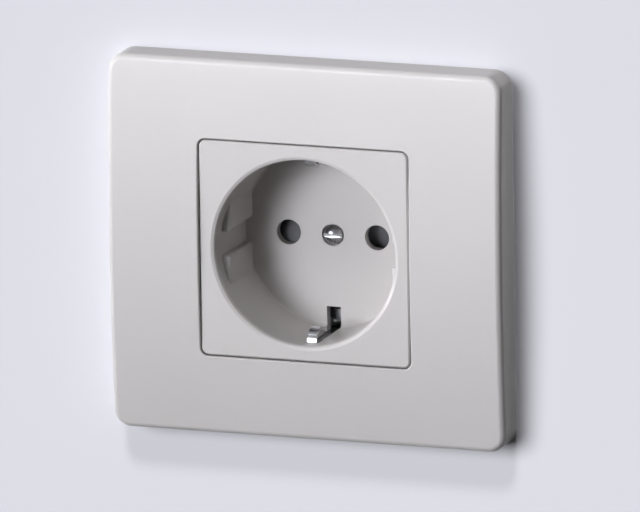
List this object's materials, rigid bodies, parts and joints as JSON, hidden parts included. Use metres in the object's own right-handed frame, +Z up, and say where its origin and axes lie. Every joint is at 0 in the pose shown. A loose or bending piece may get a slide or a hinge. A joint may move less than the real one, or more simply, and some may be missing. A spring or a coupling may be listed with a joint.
{
  "type": "type f wall socket",
  "caption": "Flush wall socket: broad frame, square cover with a round plug well, shuttered pin holes, side earth clips, and a slotted steel ring that screws to a wall box.",
  "frame": {"origin": "on the plug's axis, in the plane of the finished wall behind the support ring", "axes": "+Z up, +X to the right as seen from the room, +Y into the wall; the front faces -Y"},
  "size_m": [0.0842, 0.0398, 0.078],
  "materials": {
    "white_plastic": "satin",
    "base_plastic": "matte",
    "shutter_plastic": "matte",
    "zinc_steel": "satin",
    "plated_steel": "satin",
    "spring_metal": "satin",
    "contact_brass": "satin"
  },
  "bodies": {
    "housing": {"wall_frame": "white_plastic", "socket_cover": "white_plastic", "centre_screw": "plated_steel", "earth_strap": "spring_metal", "support_ring": "zinc_steel", "socket_base": "base_plastic", "rear_cover": "base_plastic", "left_contact": "contact_brass", "right_contact": "contact_brass", "shutter_spring": "spring_metal", "left_terminal_screw": "plated_steel", "right_terminal_screw": "plated_steel", "earth_terminal_screw": "plated_steel", "left_terminal_nut": "contact_brass", "right_terminal_nut": "contact_brass", "earth_terminal_nut": "contact_brass", "left_ring_rivet": "plated_steel", "right_ring_rivet": "plated_steel"},
    "shutter": {"shutter": "shutter_plastic"}
  },
  "joints": [
    {"name": "shutter_turn", "type": "hinge", "parent": "housing", "child": "shutter", "pos_m": [0, 0.01332, 0], "axis": [0, -1, 0], "range_deg": [0, 36], "stiffness_Nm_per_rad": 0.002, "deforming": ["shutter_spring"]}
  ]
}
